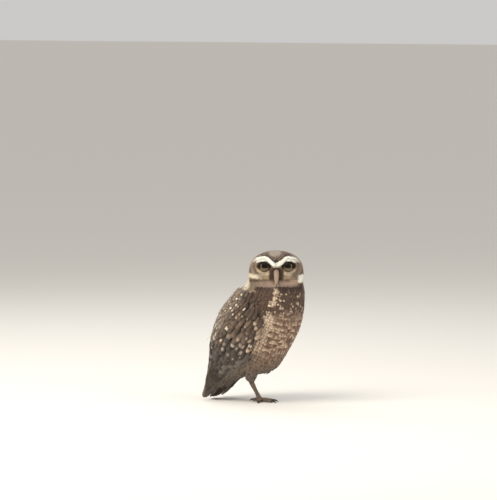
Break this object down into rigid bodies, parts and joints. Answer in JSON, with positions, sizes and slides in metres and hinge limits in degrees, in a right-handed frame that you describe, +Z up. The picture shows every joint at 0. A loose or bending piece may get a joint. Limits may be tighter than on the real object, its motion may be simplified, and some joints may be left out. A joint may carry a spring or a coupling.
{
  "type": "burrowing owl model",
  "caption": "Life-size model of a burrowing owl resting on one leg, the other drawn up, head turned over its right shoulder, wings folded.",
  "frame": {"origin": "middle of the bird's outline seen from above, on the floor it rests on", "axes": "+Z up, -Y the way the breast faces, -X the bird's right side"},
  "size_m": [0.0998, 0.149, 0.2085],
  "materials": {
    "head_feathers": "matt",
    "breast_feathers": "matt",
    "wing_feathers": "matt",
    "tail_feathers": "matt",
    "leg_feathers": "matt",
    "foot_skin": "matt",
    "bill_horn": "satin",
    "claw_horn": "satin",
    "eye": "gloss"
  },
  "bodies": {
    "root": {"head": "head_feathers", "bill_upper": "bill_horn", "bill_lower": "bill_horn", "eye_right": "eye", "eye_left": "eye", "neck": "breast_feathers", "torso": "breast_feathers", "wing_right": "wing_feathers", "wing_left": "wing_feathers", "tail": "tail_feathers", "thigh_right": "leg_feathers", "thigh_left": "leg_feathers", "tarsus_right": "foot_skin", "tarsus_left": "foot_skin", "foot_right": "foot_skin", "foot_left": "foot_skin", "claw_right_inner": "claw_horn", "claw_right_middle": "claw_horn", "claw_right_outer": "claw_horn", "claw_right_hind": "claw_horn", "claw_left_inner": "claw_horn", "claw_left_middle": "claw_horn", "claw_left_outer": "claw_horn"}
  },
  "joints": []
}
